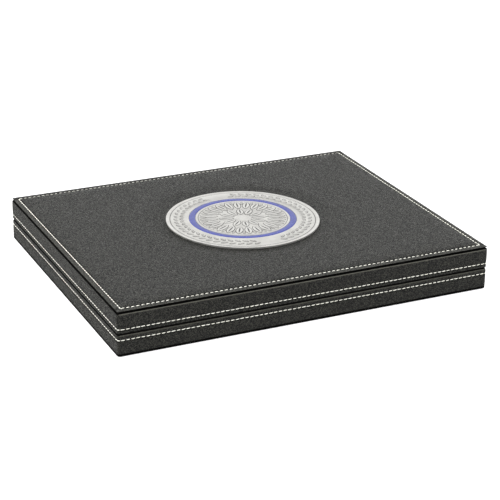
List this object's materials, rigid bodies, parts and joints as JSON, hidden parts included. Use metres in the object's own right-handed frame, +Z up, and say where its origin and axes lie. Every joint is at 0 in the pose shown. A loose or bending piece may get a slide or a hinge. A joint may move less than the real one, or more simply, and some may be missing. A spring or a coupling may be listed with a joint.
{
  "type": "coin display case",
  "caption": "Shallow hinged leatherette case with a sewn lid panel, a round metal medallion, and a punched coin tray inside.",
  "frame": {"origin": "centre of the case's flat underside, under the middle of the leatherette box", "axes": "+X along the long front, +Y from the front to the hinges at the back, +Z up"},
  "size_m": [0.305, 0.2501, 0.0373],
  "materials": {
    "leatherette": "charcoal leatherette with a fine pebble grain and ivory thread",
    "fibreboard": "raw fibreboard, covered",
    "card": "grey board, covered",
    "cover_sheet": "black felt paper",
    "tray_flock": "deep blue velvet flock",
    "lining_satin": "ivory satin",
    "hinge_steel": "nickel plated, satin",
    "screw_steel": "nickel plated, satin",
    "magnet_nickel": "nickel plated",
    "mount_tape": "foam tape",
    "medallion_metal": "satin silver-coloured metal with fine engraving",
    "enamel": "glossy blue enamel",
    "thread": "ivory sewing thread"
  },
  "bodies": {
    "base": {"base_front_wall": "fibreboard", "base_back_wall": "fibreboard", "base_left_wall": "fibreboard", "base_right_wall": "fibreboard", "base_side_wrap": "leatherette", "base_magnets": "magnet_nickel", "base_bottom_board": "fibreboard", "base_bottom_cover": "cover_sheet", "tray_floor_pad": "tray_flock", "coin_tray": "tray_flock", "hinge_left_base_leaf": "hinge_steel", "hinge_left_pin": "hinge_steel", "hinge_right_base_leaf": "hinge_steel", "hinge_right_pin": "hinge_steel", "hinge_base_screws": "screw_steel"},
    "lid": {"lid_front_wall": "fibreboard", "lid_back_wall": "fibreboard", "lid_left_wall": "fibreboard", "lid_right_wall": "fibreboard", "lid_side_wrap": "leatherette", "lid_magnets": "magnet_nickel", "hinge_left_lid_leaf": "hinge_steel", "hinge_right_lid_leaf": "hinge_steel", "hinge_lid_screws": "screw_steel", "lid_top_board": "fibreboard", "lid_top_card": "card", "lid_top_panel": "leatherette", "lid_lining_card": "card", "lid_lining_pad": "lining_satin", "medallion_adhesive_pad": "mount_tape", "medallion_disc": "medallion_metal", "medallion_enamel_ring": "enamel"}
  },
  "joints": [
    {"name": "lid_hinge", "type": "hinge", "parent": "base", "child": "lid", "pos_m": [0, 0.125, 0.017], "axis": [-1, 0, 0], "range_deg": [0, 100]}
  ]
}
